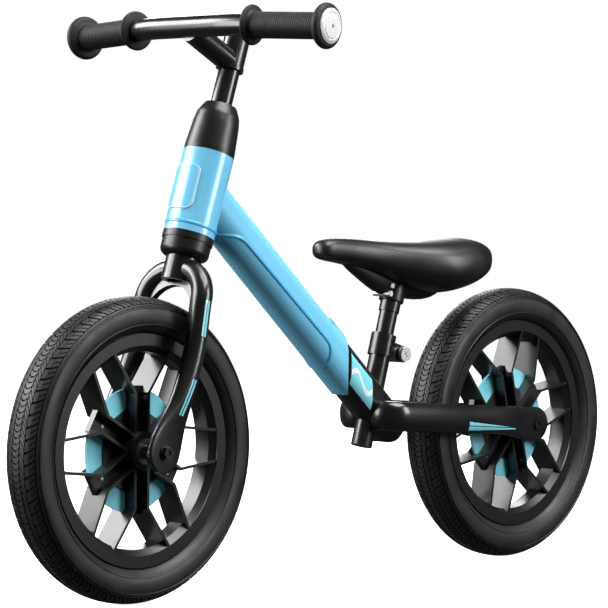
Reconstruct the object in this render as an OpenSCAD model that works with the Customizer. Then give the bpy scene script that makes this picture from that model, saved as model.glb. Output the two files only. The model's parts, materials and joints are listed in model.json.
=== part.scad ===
// Child's balance bike: two wheels, a steered fork, a low sloping frame and a sliding saddle.
// +X is forward, +Y is the rider's left, +Z is up. The origin is on the ground midway between the axles.

/* [Wheels] */
// Outer radius of the tyres
tyre_r = 152; // [140:1:170]
// Widest width of the tyres
tyre_w = 48; // [44:1:56]
// Outer radius of the rim flanges
rim_r = 115.4; // [100:0.2:120]
// Width over the rim flanges
rim_w = 32; // [28:0.5:36]
// Distance between the two axles
wheelbase = 582; // [540:1:700]
// Pairs of blades in each wheel
spoke_pairs = 6; // [5:1:7]
// Thickness of one blade
blade_t = 3; // [2:0.2:4]

/* [Hubs] */
// Radius of the axle rods
axle_r = 5; // [4:0.5:6]
// Outer radius of the ball bearings
bearing_r = 13; // [12:0.5:15]
// Width of the ball bearings
bearing_w = 8; // [6:0.5:9]
// Distance of the outer fork end faces from the middle plane
fork_half = 48.4; // [46:0.2:52]
// Distance of the outer rear arm end faces from the middle plane
arm_half = 46.8; // [45:0.2:50]
// Thickness of the flattened ends that hold the axles
dropout_t = 8; // [5:0.5:9]

/* [Steering] */
// Lean of the steering axis back from upright, in degrees
head_lean = 18.5; // [15:0.5:22]
// Distance of the front axle ahead of the steering axis
fork_offset = 5.3; // [0:0.1:12]
// Radius of the steerer tube
steerer_r = 14.3; // [13:0.1:15]
// Radius of the quill tube that slides in the steerer
quill_r = 11.1; // [10:0.1:12]
// Radius of the fork legs
leg_r = 11; // [9:0.5:12]
// Distance of the fork legs from the middle plane
leg_y = 40; // [38:0.5:44]

/* [Head] */
// Clearance along the steering axis from the top of the tyre to the lower end of the head tube
head_clear = 66; // [62:1:80]
// Length of the head tube
head_len = 93; // [80:1:110]
// Outer radius of the head tube
head_r = 18; // [17:0.5:20]
// Outer radius of the blue head cover
cover_r = 26; // [24:0.5:29]

/* [Frame] */
// Angle of the main tube from level, in degrees
main_angle = 41.3; // [38:0.1:44]
// Depth of the main tube
main_d = 44; // [38:1:50]
// Width of the main tube
main_w = 38; // [31:1:46]
// Thickness of the blue shell
shell_t = 2.7; // [2:0.1:4]
// Lean of the seat tube back from upright, in degrees
seat_lean = 16.5; // [12:0.5:20]
// Outer radius of the seat tube
seat_tube_r = 11.5; // [11:0.1:14]
// Height of the rear arms' oval section
arm_h = 32; // [26:1:36]
// Width of the rear arms' oval section
arm_w = 18; // [14:1:20]

/* [Handlebar and saddle] */
// Overall length of the handlebar tube, grip end to grip end
bar_len = 352; // [290:1:430]
// Radius of the handlebar tube
bar_r = 11.1; // [10:0.1:12]
// Length of the grips
grip_len = 96; // [85:1:110]
// Radius of the seat post
post_r = 10; // [8:0.1:10]
// Length of the saddle
saddle_len = 232; // [190:1:250]
// Width of the saddle
saddle_w = 120; // [100:1:140]

/* [Hidden] */
$fn = 96;
running = 0.05;        // radial clearance of shafts and sliding tubes
apart = 0.3;           // gap between pieces that move past each other
tube_wall = 2;         // wall of the steel tubes
FAR = 400;             // half-size of the cutting blocks

// points of the frame, in the plane y = 0
axle_x = wheelbase / 2;
axle_z = tyre_r;
steer_foot = [axle_x - fork_offset * cos(head_lean), 0, axle_z - fork_offset * sin(head_lean)];
head_low = tyre_r + head_clear;
head_top = head_low + head_len;
head_mid = head_low + head_len * 0.6;
main_top = steer_foot + head_mid * [-sin(head_lean), 0, cos(head_lean)];
main_rise = main_top.z - axle_z;
main_len = main_rise / sin(main_angle);
main_end = main_top - main_len * [cos(main_angle), 0, sin(main_angle)];
seat_cross = 45;       // distance along the main tube to the seat tube's axis
seat_drop = 46;        // length of seat tube below that crossing
seat_len = 124;        // length of the seat tube
seat_foot = main_end + seat_cross * [cos(main_angle), 0, sin(main_angle)]
    - seat_drop * [-sin(seat_lean), 0, cos(seat_lean)];

// headset, measured along the steering axis
ring_h = 7;
cup_h = 17;
cup_r = 25;
race_r = head_r + 0.6;
bowl_r = head_r + 1;
ball_r = 2.2;
ball_path = (steerer_r + bowl_r) / 2;
ball_count = 18;
lower_cup_low = head_low - cup_h;
bowl_depth = 12;
top_ring_h = 5;
top_cover_h = 48;
upper_floor = head_top + 3;
steerer_top = head_top + 29;
crown_low = lower_cup_low - 25;  // lower face of the crown boss
crown_r = 17;

// wheel section
rim_half = rim_w / 2;
well_r = rim_r - 12.4;
face_r = rim_r - 11.4;
barrel_r = rim_r - 17.4;
flange_t = 3.2;
disc_r = 62;
disc_t = 3;
plate_r = 41;
boss_r = bearing_r + 6;
boss_half = rim_half + 4.5;
channel_half = 8.7;
bend_r = 57;
flare = 21.6;
lamp_r = 51;

// handlebar, in steering coordinates
bar_x = 65.4;
bar_s = 423.8;
bar_flat = 57;
bar_sweep = 7.5;
stem_low = 402;
stem_len = 45;
stem_r = 13.5;
grip_r = 13.25;

// ---- placing -------------------------------------------------------------------------------

// steering coordinates: x forward of the steering axis, z along it from the foot near the axle
module on_steering() {
    translate(steer_foot) rotate([0, -head_lean, 0]) children();
}

// main tube coordinates: z along the tube towards the head, x towards its underside
module on_main() {
    translate(main_end) rotate([0, 90 - main_angle, 0]) children();
}

// seat tube coordinates: z up along the seat tube from its lower end
module on_seat() {
    translate(seat_foot) rotate([0, -seat_lean, 0]) children();
}

// wheel coordinates: z along the axle towards the rider's left, x forward
module on_front_axle() {
    translate([axle_x, 0, axle_z]) rotate([-90, 0, 0]) children();
}

module on_rear_axle() {
    translate([-axle_x, 0, axle_z]) rotate([-90, 0, 0]) children();
}

// ---- shared shapes ---------------------------------------------------------------------------

module rounded_rect(size, r) {
    square([size.x - 2 * r, size.y], center = true);
    square([size.x, size.y - 2 * r], center = true);
    for (i = [-1, 1], j = [-1, 1])
        translate([i * (size.x / 2 - r), j * (size.y / 2 - r)]) circle(r);
}

// oval with straight sides, longer along y
module oval(w, h) {
    square([w, h - w], center = true);
    for (i = [-1, 1]) translate([0, i * (h - w) / 2]) circle(w / 2);
}

module ring(r_out, r_in, h) {
    difference() {
        cylinder(r = r_out, h = h);
        translate([0, 0, -1]) cylinder(r = r_in, h = h + 2);
    }
}

// straight round bar between two points
module rod(a, b, r) {
    d = b - a;
    translate(a) rotate([0, acos(d.z / norm(d)), atan2(d.y, d.x)]) cylinder(r = r, h = norm(d));
}

// round bar along a path of points, with a ball joint that stands just proud at each inner point
bead = 0.4;
joint_gap = 1.5;

module kinked_bar(p, r) {
    last = len(p) - 1;
    for (i = [0:last - 1])
        let (d = unit(p[i + 1] - p[i]))
            rod(p[i] + (i > 0 ? joint_gap : 0) * d, p[i + 1] - (i < last - 1 ? joint_gap : 0) * d, r);
    if (last > 1) for (i = [1:last - 1]) translate(p[i]) sphere(r = r + bead);
}

// keeps the left side (+Y) or the right side (-Y) of its children
module half_space(side) {
    intersection() {
        children();
        translate([-2 * FAR, side > 0 ? 0 : -FAR, -FAR]) cube([4 * FAR, FAR, 4 * FAR]);
    }
}

function unit(v) = v / norm(v);
function left_of(v) = [-v.y, v.x];
function leg_dir(p, i) = unit(p[min(i + 1, len(p) - 1)] - p[min(i, len(p) - 2)]);
function back_dir(p, i) = unit(p[max(i, 1)] - p[max(i - 1, 0)]);
function side_at(p, i) = let (m = unit(left_of(leg_dir(p, i)) + left_of(back_dir(p, i))))
    m / (m * left_of(leg_dir(p, i)));

// flat strip of even thickness along a path of points
module strip(p, t) {
    n = len(p) - 1;
    polygon(concat([for (i = [0:n]) p[i] + t / 2 * side_at(p, i)],
                   [for (i = [n:-1:0]) p[i] - t / 2 * side_at(p, i)]));
}

// ---- wheel -----------------------------------------------------------------------------------

tyre_mid = (tyre_r + rim_r - 1.4) / 2;
tyre_b = tyre_r - tyre_mid;
squareness = 2.4;      // how full the tyre's section is: 2 is an ellipse

function power_curve(a, b, k, t) =
    [a * sign(cos(t)) * pow(abs(cos(t)), 2 / k), b * sign(sin(t)) * pow(abs(sin(t)), 2 / k)];

module tyre_outline(wall) {
    translate([tyre_mid, 0]) polygon([for (i = [0:71])
        power_curve(tyre_b - wall, tyre_w / 2 - wall, squareness, 5 * i)]);
}

bead_half = rim_half - flange_t - 0.1;
bead_toe = bead_half - 1.3;
tyre_wall = 5;
bead_wall = 6;
core_gap = 0.1;

module tyre() {
    color("#2b2d2e") rotate_extrude() difference() {
        union() {
            tyre_outline(0);
            polygon([[well_r + 0.1, bead_toe], [well_r + 3.1, bead_half], [rim_r + 2, bead_half],
                     [rim_r + 2, -bead_half], [well_r + 3.1, -bead_half], [well_r + 0.1, -bead_toe]]);
        }
        tyre_outline(tyre_wall);
        translate([well_r - 1, -bead_half + bead_wall])
            square([tyre_mid - well_r, 2 * (bead_half - bead_wall)]);
    }
}

module tyre_core() {
    color("#3a3a3a") rotate_extrude() {
        tyre_outline(tyre_wall + core_gap);
        translate([well_r + 0.1, -bead_half + bead_wall + core_gap])
            square([tyre_mid - well_r, 2 * (bead_half - bead_wall - core_gap)]);
    }
}

// ring of one moulded rim half, outside the middle plane
module rim_ring() {
    rotate_extrude() polygon([
        [barrel_r, 0], [well_r, 0], [well_r, rim_half - flange_t - 1.2],
        [well_r + 3, rim_half - flange_t], [rim_r - 1, rim_half - flange_t],
        [rim_r, rim_half - flange_t + 1], [rim_r, rim_half], [face_r, rim_half],
        [face_r, rim_half - 1.5], [barrel_r, rim_half - 7]
    ]);
}

function blade_path(side) = [
    [boss_r - 2, side * channel_half], [bend_r, side * channel_half],
    [(face_r + 2) * cos(flare), side * (face_r + 2) * sin(flare)]
];

module blades(t) {
    for (i = [0:spoke_pairs - 1], side = [-1, 1])
        rotate(360 / spoke_pairs * i) strip(blade_path(side), t);
}

// floor of the channels and of the hub, cut as a star
module star_plate() {
    circle(r = plate_r / cos(180 / spoke_pairs), $fn = spoke_pairs);
    end = disc_r + 1.5;
    spread = channel_half + (end - bend_r) * 0.73;
    for (i = [0:spoke_pairs - 1]) rotate(360 / spoke_pairs * i)
        polygon([[0, -channel_half], [bend_r, -channel_half], [end, -spread],
                 [end, spread], [bend_r, channel_half], [0, channel_half]]);
}

module rim_half_solid() {
    color("#1c1d1f") difference() {
        union() {
            rim_ring();
            intersection() {
                linear_extrude(rim_half - 1) blades(blade_t);
                rotate_extrude() polygon([
                    [0, 0], [barrel_r + 2, 0], [barrel_r + 2, rim_half - 7],
                    [face_r + 0.5, rim_half - 2.5], [face_r + 0.5, rim_half - 1], [0, rim_half - 1]
                ]);
            }
            linear_extrude(disc_t / 2 + 2) star_plate();
            cylinder(r = boss_r, h = boss_half);
        }
        translate([0, 0, -1]) cylinder(r = disc_r + 0.2, h = disc_t / 2 + 1);
        translate([0, 0, -1]) cylinder(r = hub_sleeve_r + 0.5, h = boss_half + 2);
        translate([0, 0, boss_half - bearing_w]) cylinder(r = bearing_r, h = bearing_w + 1);
        for (i = [0:spoke_pairs - 1])
            rotate(360 / spoke_pairs * i) translate([lamp_r, 0, 0]) cylinder(r = lens_r + 0.1, h = 10);
    }
}

hub_sleeve_r = axle_r + 2.5;
lens_r = 2.2;
lens_h = 3.6;

// side 1 is the rider's left half of the wheel, side -1 the right half
module rim(side) {
    mirror([0, 0, side > 0 ? 0 : 1]) rim_half_solid();
}

module light_disc() {
    color("#8fe0ee") translate([0, 0, -disc_t / 2]) ring(disc_r, boss_r - 4, disc_t);
}

module lamps() {
    color("#e8fbff") for (i = [0:spoke_pairs - 1], side = [-1, 1])
        rotate(360 / spoke_pairs * i) translate([lamp_r, 0, 0]) mirror([0, 0, side > 0 ? 0 : 1]) {
            translate([0, 0, disc_t / 2]) cylinder(r = lens_r, h = lens_h - lens_r / 2);
            translate([0, 0, disc_t / 2 + lens_h - lens_r / 2 - 0.4]) intersection() {
                sphere(r = lens_r);
                cylinder(r = lens_r, h = lens_r);
            }
        }
}

module hub_sleeve() {
    sleeve_half = boss_half - bearing_w;
    color("#8d9094") translate([0, 0, -sleeve_half])
        ring(hub_sleeve_r, axle_r + running, 2 * sleeve_half);
}

module bearing() {
    race = (bearing_r - axle_r) * 0.28;
    mid = (bearing_r + axle_r) / 2;
    difference() {
        ring(bearing_r, axle_r + running, bearing_w);
        for (z = [-1, bearing_w - 0.6])
            translate([0, 0, z]) ring(bearing_r - race, axle_r + race, 1.6);
    }
}

module bearings() {
    color("#9aa0a6") for (side = [-1, 1]) mirror([0, 0, side > 0 ? 0 : 1])
        translate([0, 0, boss_half - bearing_w]) bearing();
}

// ---- axles -------------------------------------------------------------------------------------

bolt_head_r = 6.4;
bolt_head_h = 5;
washer_r = 8;
washer_t = 1.2;

// axle rod between the outer faces of its holder, tapped at both ends
module axle_rod(half) {
    color("#9a9da1") difference() {
        translate([0, 0, -half]) cylinder(r = axle_r, h = 2 * half);
        for (side = [-1, 1]) mirror([0, 0, side > 0 ? 0 : 1])
            translate([0, 0, half - 18]) cylinder(r = 2.6, h = 20);
    }
}

module axle_bolts(half, sunk) {
    color("#55585c") for (side = [-1, 1]) mirror([0, 0, side > 0 ? 0 : 1]) translate([0, 0, half - sunk]) {
        cylinder(r = washer_r - sunk * 0.2, h = washer_t);
        difference() {
            translate([0, 0, washer_t]) cylinder(r = bolt_head_r, h = bolt_head_h - washer_t, $fn = 6);
            translate([0, 0, bolt_head_h - 1.4]) cylinder(r = 2.6, h = 3);
        }
        translate([0, 0, -15 + sunk]) cylinder(r = 2.5, h = 15 - sunk);
    }
}

module spacers(half) {
    low = boss_half + apart;
    color("#6f7276") for (side = [-1, 1]) mirror([0, 0, side > 0 ? 0 : 1])
        translate([0, 0, low]) ring(axle_r + 3.2, axle_r, half - dropout_t - low);
}

rear_sink = 2.5;

module front_axle() { on_front_axle() axle_rod(fork_half); }
module front_axle_bolts() { on_front_axle() axle_bolts(fork_half, 0); }
module front_spacers() { on_front_axle() spacers(fork_half); }
module rear_axle() { on_rear_axle() axle_rod(arm_half - rear_sink); }
module rear_axle_bolts() { on_rear_axle() axle_bolts(arm_half, rear_sink); }
module rear_spacers() { on_rear_axle() spacers(arm_half); }

// ---- frame -------------------------------------------------------------------------------------

module head_tube() {
    color("#141516") on_steering() translate([0, 0, head_low]) ring(head_r, head_r - tube_wall, head_len);
}

main_corner = 18;

module main_section(grow) {
    rounded_rect([main_d + 2 * grow, main_w + 2 * grow], main_corner + grow);
}

module main_tube() {
    end_r = 12;
    color("#141516") difference() {
        on_main() intersection() {
            linear_extrude(main_len + 30) main_section(0);
            rotate([90, 0, 0]) translate([0, 0, -FAR]) linear_extrude(2 * FAR) {
                translate([-FAR, end_r]) square([2 * FAR, FAR * 2]);
                translate([-main_d / 2 + end_r, 0]) square([main_d - 2 * end_r, end_r + 1]);
                for (i = [-1, 1]) translate([i * (main_d / 2 - end_r), end_r]) circle(end_r);
            }
        }
        on_main() translate([0, 0, end_r]) linear_extrude(main_len + 30) main_section(-tube_wall);
        on_steering() translate([0, 0, -FAR / 2]) cylinder(r = head_r, h = 3 * FAR);
        on_steering() translate([0, -FAR / 2, -FAR / 2]) cube([FAR, FAR, 3 * FAR]);
        on_seat() translate([0, 0, -20]) cylinder(r = seat_tube_r, h = seat_len + 40);
    }
}

seat_bore_r = post_r + running;
plug_flange = 3;

module seat_tube() {
    color("#141516") on_seat() difference() {
        translate([0, 0, plug_flange]) ring(seat_tube_r, seat_bore_r, seat_len - plug_flange);
        translate([-seat_tube_r - 5, -1, seat_len - 30]) cube([10, 2, 40]);
    }
}

module seat_tube_plug() {
    color("#202224") on_seat() {
        cylinder(r = seat_tube_r, h = plug_flange);
        cylinder(r = seat_bore_r - 0.1, h = 14);
    }
}

// rear arm on the left: an oval tube that bends out of the main tube's side and runs straight back to
// a flattened end around the axle
arm_root = [main_end.x + 38, main_w / 2, axle_z + 19];
arm_bend = 19;
arm_end_r = 19.5;
arm_flat_len = 44;
arm_tip = [-axle_x + arm_flat_len, arm_half - 1, axle_z + 6];
arm_back = norm([arm_root.x - arm_tip.x, arm_root.z - arm_tip.z]);
arm_pitch = atan((arm_root.z - arm_tip.z) / (arm_root.x - arm_tip.x));
arm_reach = [arm_bend - arm_back, arm_tip.y - arm_root.y];
arm_turn = atan2(arm_reach.y, arm_reach.x) - acos(arm_bend / norm(arm_reach));
arm_lead = 25;         // the part of the bend that runs into the main tube's rounded side
arm_straight = sqrt(norm(arm_reach) * norm(arm_reach) - arm_bend * arm_bend);

// the tube's outside with no inset, and its hollow with an inset of the wall and a shorter run
module arm_solid(inset, run) {
    translate(arm_root) rotate([0, -arm_pitch, 0]) translate([-arm_bend, 0, 0]) {
        rotate(-arm_lead) rotate_extrude(angle = arm_lead + arm_turn)
            translate([arm_bend, 0]) oval(arm_w - 2 * inset, arm_h - 2 * inset);
        rotate(arm_turn) translate([arm_bend, 0, 0]) rotate([-90, 0, 0]) {
            linear_extrude(run) oval(arm_w - 2 * inset, arm_h - 2 * inset);
            translate([0, 0, -joint_gap]) linear_extrude(2 * joint_gap)
                oval(arm_w - 2 * inset + bead, arm_h - 2 * inset + bead);
        }
    }
}

module arm_flat() {
    taper = arm_flat_len + 8;
    translate([-axle_x, arm_half, axle_z]) rotate([90, 0, 0]) linear_extrude(dropout_t) {
        circle(arm_end_r);
        polygon([[0, -arm_end_r + 2], [taper, -arm_h / 2 + 8.5], [taper, arm_h / 2 + 3.5], [0, arm_end_r - 1]]);
    }
}

module rear_arm() {
    color("#141516") difference() {
        union() {
            arm_solid(0, arm_straight);
            arm_flat();
        }
        arm_solid(tube_wall, arm_straight - 20);
        on_main() linear_extrude(main_len) main_section(0);
        on_seat() translate([0, 0, -20]) cylinder(r = seat_tube_r + running, h = seat_len);
        on_rear_axle() translate([0, 0, arm_half - rear_sink]) cylinder(r = washer_r, h = 10);
        on_rear_axle() cylinder(r = axle_r, h = FAR);
    }
}

module rear_arm_left() { rear_arm(); }
module rear_arm_right() { mirror([0, 1, 0]) rear_arm(); }

// ---- blue shell ----------------------------------------------------------------------------------

shell_low = head_low + ring_h;
shell_high = head_top;
shell_end_x = main_end.x + 92.3;
shell_step = 18;       // how far the wrap over the top runs back from the shell's end
wrap_edge = 13.8;      // height of the open edge above the middle of the tube's side
shell_gap = 0.15;

// side view of the sloping part of the shell: an upright end, with a round tongue below it that reaches
// further back under the tube
module shell_side() {
    r = 8;
    lean = 40;
    proud = 0.5;
    x = shell_end_x - 9;
    tip = [x, main_end.z + (x - main_end.x) * tan(main_angle)
        - (main_d / 2 + shell_t - r + proud) / cos(main_angle)];
    edge = tip + r * [-cos(lean), sin(lean)];
    low = tip + r * [sin(main_angle), -cos(main_angle)];
    inside = shell_end_x + 1;
    translate([shell_end_x, 0]) square([FAR, 2 * FAR]);
    translate(tip) circle(r);
    polygon([edge, [inside, edge.y + (inside - edge.x) / tan(lean)],
             [inside, low.y + (inside - low.x) * tan(main_angle)], low]);
}

module shell_body(grow) {
    on_steering() translate([0, 0, shell_low]) cylinder(r = cover_r + grow, h = shell_high - shell_low);
    intersection() {
        on_main() linear_extrude(main_len) main_section(shell_t + grow);
        rotate([90, 0, 0]) translate([0, 0, -FAR]) linear_extrude(2 * FAR) shell_side();
        on_steering() translate([-2 * FAR, -FAR, 0]) cube([2 * FAR, 2 * FAR, shell_high]);
    }
}

// the strap over the top of the tube at the lower end, and the open slot above it
module shell_slot() {
    slot_low = (shell_end_x + shell_step + 7 - main_end.x) / cos(main_angle) + 6;
    on_main() translate([-FAR - wrap_edge, -FAR / 2, slot_low]) cube([FAR, FAR, FAR]);
}

module shell() {
    rib = 2;
    color("#7fc9e6") difference() {
        union() {
            difference() {
                shell_body(0);
                difference() {
                    shell_slot();
                    on_steering() translate([0, 0, -FAR / 2]) cylinder(r = cover_r, h = 3 * FAR);
                }
                on_steering() translate([0, 0, shell_low - 1])
                    cylinder(r = cover_r - shell_t, h = head_len + 20);
            }
            for (z = [shell_low + 4, shell_high - rib - 4])
                on_steering() translate([0, 0, z]) ring(cover_r - shell_t + 0.5, head_r + shell_gap, rib);
        }
        on_main() translate([0, 0, -30]) linear_extrude(main_len + 30) main_section(shell_gap);
        on_steering() translate([0, 0, -1]) cylinder(r = head_r + shell_gap, h = 2 * FAR);
    }
}

module shell_left() { half_space(1) shell(); }
module shell_right() { half_space(-1) shell(); }

badge_w = 33;
badge_h = 47;
badge_t = 1.2;

module head_badge() {
    z0 = shell_low + 21;
    color("#bfc7cc") on_steering() intersection() {
        translate([0, 0, z0 - 1]) ring(cover_r + badge_t, cover_r, badge_h + 2);
        translate([0, 0, z0 + badge_h / 2]) rotate([0, 90, 0]) linear_extrude(FAR)
            rounded_rect([badge_h, badge_w], 7);
    }
}

// ---- headset ---------------------------------------------------------------------------------------

module lower_head_ring() {
    color("#17181a") on_steering() translate([0, 0, head_low]) ring(cover_r, head_r, ring_h);
}

module lower_cup() {
    edge = 7;
    color("#17181a") on_steering() translate([0, 0, lower_cup_low]) difference() {
        rotate_extrude() difference() {
            union() {
                translate([0, edge]) square([cup_r, cup_h - edge]);
                square([cup_r - edge, cup_h]);
                intersection() {
                    translate([cup_r - edge, edge]) circle(edge);
                    square([cup_r, cup_h]);
                }
            }
            translate([0, -1]) square([steerer_r + running, cup_h + 2]);
            translate([0, -1]) square([bowl_r, bowl_depth + 1]);
        }
    }
}

module upper_cup() {
    color("#2a2c2e") on_steering() translate([0, 0, head_top]) {
        ring(head_r + 4, steerer_r + running, 3);
        translate([0, 0, 3]) ring(head_r + 4, bowl_r, 7);
        translate([0, 0, -9]) ring(head_r - tube_wall, steerer_r + running, 9);
    }
}

module upper_head_ring() {
    color("#17181a") on_steering() translate([0, 0, head_top]) ring(cover_r, head_r + 4, top_ring_h);
}

module headset_cover() {
    low = head_top + top_ring_h;
    top_r = 15.4;
    shoulder = 10;
    wall = 2.6;
    module outline(inset) {
        r0 = cover_r - inset;
        r1 = cover_r - 2.4 - inset;
        h = top_cover_h - inset;
        polygon([[0, 0], [r0, 0], [r1, h - 20], [r1 - 1.6, h - 11], [r1 - 4.6, h - 4.5],
                 [top_r - inset + 1.4, h - 0.6], [top_r - inset - 1, h], [0, h]]);
    }
    color("#101112") on_steering() translate([0, 0, low]) rotate_extrude() difference() {
        outline(0);
        translate([0, -0.01]) outline(wall);
        translate([0, -1]) square([quill_r + 1.2, top_cover_h + 2]);
    }
}

module crown_race() {
    low = lower_cup_low + 3;
    color("#7d8084") on_steering() translate([0, 0, low])
        ring(race_r, steerer_r, bowl_depth - 3 - 2 * ball_r - apart);
}

module ball_ring() {
    ring(ball_path + 0.7, ball_path - 0.7, 1.6);
    for (i = [0:ball_count - 1])
        rotate(360 / ball_count * i) translate([ball_path, 0, 0.8]) sphere(r = ball_r - 0.15, $fn = 24);
}

module lower_ball_ring() {
    color("#b4b8bc") on_steering() translate([0, 0, lower_cup_low + bowl_depth - ball_r - 0.8 - apart / 2])
        ball_ring();
}

module upper_ball_ring() {
    color("#b4b8bc") on_steering() translate([0, 0, upper_floor + ball_r - 0.8 + apart / 2]) ball_ring();
}

module upper_race() {
    low = upper_floor + 2 * ball_r + apart;
    color("#7d8084") on_steering() {
        translate([0, 0, low]) ring(race_r, steerer_r, 5);
        translate([0, 0, low + 5]) ring(race_r + 2, steerer_r, 4);
    }
}

module lock_nut() {
    low = upper_floor + 2 * ball_r + apart + 9;
    color("#7d8084") on_steering() translate([0, 0, low]) difference() {
        cylinder(r = race_r + 1, h = 6, $fn = 6);
        translate([0, 0, -1]) cylinder(r = steerer_r, h = 8);
    }
}

// ---- fork ------------------------------------------------------------------------------------------

arch_r = 32;
arch_s = crown_low + 13;
leg_bend_s = 108;
leg_back = -6;
web_t = 7;

// plate between the legs with an arched lower edge
module crown_web() {
    low = crown_low - 4;
    half = leg_y - leg_r + 2;
    rotate([90, 0, 90]) translate([0, 0, -web_t / 2]) linear_extrude(web_t) difference() {
        translate([-half, low - 22]) square([2 * half, arch_s - 7 - (low - 22)]);
        translate([0, low - arch_r]) circle(arch_r);
    }
}

module steerer_crown() {
    color("#141516") on_steering() difference() {
        union() {
            translate([0, 0, crown_low]) cylinder(r = crown_r, h = lower_cup_low + 3 - crown_low);
            translate([0, 0, crown_low]) cylinder(r = steerer_r, h = steerer_top - crown_low);
            difference() {
                crown_web();
                leg_core(leg_r, leg_foot);
                mirror([0, 1, 0]) leg_core(leg_r, leg_foot);
            }
        }
        translate([0, 0, crown_low - 1]) cylinder(r = quill_r + running, h = FAR);
    }
}

// left leg: out of the crown, over an arch and down in two straight runs
leg_foot = [2, fork_half - dropout_t / 2, 26];
leg_knee = [leg_back, leg_y + 2, leg_bend_s];

module leg_core(r, foot) {
    arch_end = [0, leg_y, arch_s - arch_r];
    translate([0, leg_y - arch_r, arch_s - arch_r]) rotate([0, -90, 0])
        rotate_extrude(angle = 90) translate([arch_r, 0]) circle(r);
    translate(arch_end) sphere(r = r + bead);
    kinked_bar([arch_end + joint_gap * unit(leg_knee - arch_end), leg_knee, foot], r);
}

module leg_flat() {
    translate([0, fork_half, 0]) rotate([90, 0, 0]) linear_extrude(dropout_t) {
        translate([fork_offset, 0]) circle(20.5);
        polygon([[fork_offset - 19, 4], [-9.5, 42], [10, 42], [fork_offset + 19.5, 6]]);
    }
}

module fork_leg() {
    color("#141516") difference() {
        on_steering() difference() {
            union() {
                leg_core(leg_r, leg_foot);
                leg_flat();
            }
            leg_core(leg_r - tube_wall, leg_knee + 0.62 * (leg_foot - leg_knee));
            translate([0, 0, crown_low - 1]) cylinder(r = crown_r, h = FAR);
            translate([-FAR / 2, -FAR, 0]) cube([FAR, FAR, FAR]);
        }
        on_front_axle() cylinder(r = axle_r, h = FAR);
        on_front_axle() cylinder(r = boss_r + 8, h = fork_half - dropout_t);
        on_front_axle() translate([0, 0, fork_half]) cylinder(r = 34, h = 20);
    }
}

module fork_leg_left() { fork_leg(); }
module fork_leg_right() { mirror([0, 1, 0]) fork_leg(); }

// ---- handlebar ---------------------------------------------------------------------------------------

quill_low = head_low + 22;

module quill_tube() {
    color("#141516") on_steering() translate([0, 0, quill_low])
        ring(quill_r, quill_r - tube_wall, stem_low + stem_len - 3 - quill_low);
}

module stem_head() {
    ext_from = [0, 0, stem_low + 10];
    color("#141516") on_steering() difference() {
        union() {
            translate([0, 0, stem_low]) cylinder(r = stem_r, h = stem_len - 3);
            translate([0, 0, stem_low + stem_len - 3]) cylinder(r1 = stem_r, r2 = stem_r - 2.5, h = 3);
            translate([0, 0, stem_low]) ring(stem_r + 0.8, stem_r - 1, 4);
            rod([0, 0, bar_s - 14], [bar_x + 6, 0, bar_s - 2], 12);
        }
        translate([0, 0, stem_low - 9]) cylinder(r = quill_r + running, h = stem_len + 6);
        translate([0, 0, stem_low]) cylinder(r = 4.2, h = FAR);
        translate([bar_x, -FAR, bar_s]) rotate([-90, 0, 0]) cylinder(r = bar_r, h = 2 * FAR);
        translate([bar_x, -FAR, bar_s - FAR]) cube(2 * FAR);
    }
}

bar_straight = (bar_len / 2 - bar_flat) / cos(bar_sweep);

// coordinates along the swept left end of the bar, starting a distance after the bend
module along_grip(start) {
    translate([0, bar_flat, 0]) rotate([0, 0, bar_sweep]) rotate([-90, 0, 0]) translate([0, 0, start]) children();
}

module bar_full(r, len) {
    tip = [-len * sin(bar_sweep), bar_flat + len * cos(bar_sweep), 0];
    kinked_bar([[tip.x, -tip.y, 0], [0, -bar_flat, 0], [0, bar_flat, 0], tip], r);
}

module on_bar() {
    on_steering() translate([bar_x, 0, bar_s]) children();
}

module handlebar_tube() {
    color("#141516") on_bar() difference() {
        bar_full(bar_r, bar_straight);
        bar_full(bar_r - tube_wall, bar_straight + 1);
    }
}

flange_r = 20;
knob_r = 22.8;

module grip() {
    color("#191918") on_bar() along_grip(bar_straight - grip_len) rotate_extrude() difference() {
        union() {
            square([grip_r, grip_len]);
            square([flange_r - 2, 4]);
            translate([flange_r - 2, 2]) circle(2, $fn = 48);
            translate([0, grip_len - 7]) square([knob_r - 3.5, 10]);
            translate([knob_r - 3.5, grip_len - 3.5]) circle(3.5, $fn = 48);
            translate([0, grip_len - 3.5]) square([knob_r - 2.2, 3.5]);
        }
        translate([0, -1]) square([bar_r, grip_len + 1]);
        translate([0, grip_len]) square([knob_r - 5, 10]);
    }
}

module grip_left() { grip(); }
module grip_right() { mirror([0, 1, 0]) grip(); }

module bar_plug() {
    color("#c9ccce") on_bar() along_grip(bar_straight) difference() {
        union() {
            translate([0, 0, -14]) cylinder(r = bar_r - tube_wall, h = 14);
            cylinder(r = knob_r - 5, h = 2.5);
            translate([0, 0, 2.5]) cylinder(r1 = knob_r - 5, r2 = knob_r - 8, h = 1.5);
        }
        translate([0, 0, -20]) cylinder(r = 2, h = 40);
    }
}

module bar_plug_left() { bar_plug(); }
module bar_plug_right() { mirror([0, 1, 0]) bar_plug(); }

wedge_h = 24;

module expander_wedge() {
    color("#8d9094") on_steering() translate([0, 0, quill_low - wedge_h]) difference() {
        cylinder(r = quill_r - 0.4, h = wedge_h);
        translate([0, 0, -1]) cylinder(r = 4.2, h = wedge_h + 2);
    }
}

module expander_bolt() {
    top = stem_low + stem_len;
    color("#55585c") on_steering() {
        translate([0, 0, quill_low - wedge_h]) cylinder(r = 4, h = top - quill_low + wedge_h);
        translate([0, 0, top]) difference() {
            cylinder(r = 7, h = 5);
            translate([0, 0, 2]) cylinder(r = 3.4, h = 4, $fn = 6);
        }
    }
}

// ---- saddle --------------------------------------------------------------------------------------------

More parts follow.
